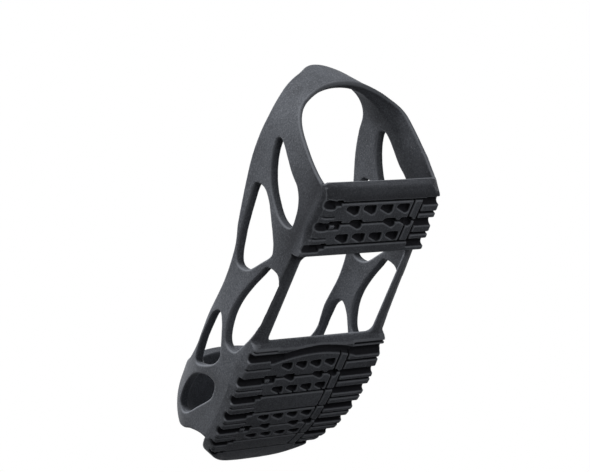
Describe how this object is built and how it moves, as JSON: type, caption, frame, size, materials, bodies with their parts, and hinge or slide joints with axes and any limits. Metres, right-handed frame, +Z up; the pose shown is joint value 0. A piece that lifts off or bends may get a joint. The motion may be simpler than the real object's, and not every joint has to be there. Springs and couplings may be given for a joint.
{
  "type": "anti-slip overshoe",
  "caption": "Stretch rubber overshoe with treaded heel and forefoot pads, a windowed harness, a heel band and a toe band that hold it on a shoe.",
  "frame": {"origin": "under the middle of the overshoe's length, on the plane of the tread lugs", "axes": "+X to the toe, +Y to the wearer's left, +Z up"},
  "size_m": [0.259, 0.104, 0.1],
  "materials": {
    "harness_rubber": "matt, fine-grained, lightly dusted",
    "tread_rubber": "matt, darker, scuffed on the lugs"
  },
  "bodies": {
    "forefoot": {"forefoot_sole": "tread_rubber", "forefoot_grip_panel_rear": "tread_rubber", "forefoot_cross_bar": "tread_rubber", "forefoot_grip_panel_front": "tread_rubber", "forefoot_front_bar": "tread_rubber", "forefoot_edge_lugs_left": "tread_rubber", "forefoot_edge_lugs_right": "tread_rubber", "forefoot_side_web_left": "harness_rubber", "forefoot_side_web_right": "harness_rubber", "midfoot_strap_left": "harness_rubber", "midfoot_strap_right": "harness_rubber", "side_brace_left": "harness_rubber", "side_brace_right": "harness_rubber", "front_rail_left": "harness_rubber", "front_rail_right": "harness_rubber", "toe_post_left": "harness_rubber", "toe_post_right": "harness_rubber", "toe_strip_left": "harness_rubber", "toe_strip_right": "harness_rubber", "vamp_rail_left": "harness_rubber", "vamp_rail_right": "harness_rubber"},
    "heel": {"heel_sole": "tread_rubber", "heel_grip_panel": "tread_rubber", "heel_edge_lugs_left": "tread_rubber", "heel_edge_lugs_right": "tread_rubber", "heel_side_web_left": "harness_rubber", "heel_side_web_right": "harness_rubber", "heel_strut_left": "harness_rubber", "heel_strut_right": "harness_rubber", "rear_rail_left": "harness_rubber", "rear_rail_right": "harness_rubber"},
    "heel_loop": {"heel_band": "harness_rubber"},
    "toe_loop": {"toe_band": "harness_rubber"}
  },
  "joints": [
    {"name": "midfoot_flex", "type": "hinge", "parent": "forefoot", "child": "heel", "pos_m": [-0.016, 0, 0.0065], "axis": [0, 1, 0], "range_deg": [-20, 40], "stiffness_Nm_per_rad": 1.5, "deforming": ["midfoot_strap_left", "midfoot_strap_right", "side_brace_left", "side_brace_right", "front_rail_left", "front_rail_right"]},
    {"name": "heel_loop_flex", "type": "hinge", "parent": "heel", "child": "heel_loop", "pos_m": [-0.0915, 0, 0.02], "axis": [0, 1, 0], "range_deg": [-60, 10], "stiffness_Nm_per_rad": 0.8, "deforming": ["heel_strut_left", "heel_strut_right", "rear_rail_left", "rear_rail_right"]},
    {"name": "toe_loop_flex", "type": "hinge", "parent": "forefoot", "child": "toe_loop", "pos_m": [0.076, 0, 0.03], "axis": [0, 1, 0], "range_deg": [-25, 25], "stiffness_Nm_per_rad": 0.8, "deforming": ["toe_post_left", "toe_post_right", "toe_strip_left", "toe_strip_right", "vamp_rail_left", "vamp_rail_right"]}
  ]
}
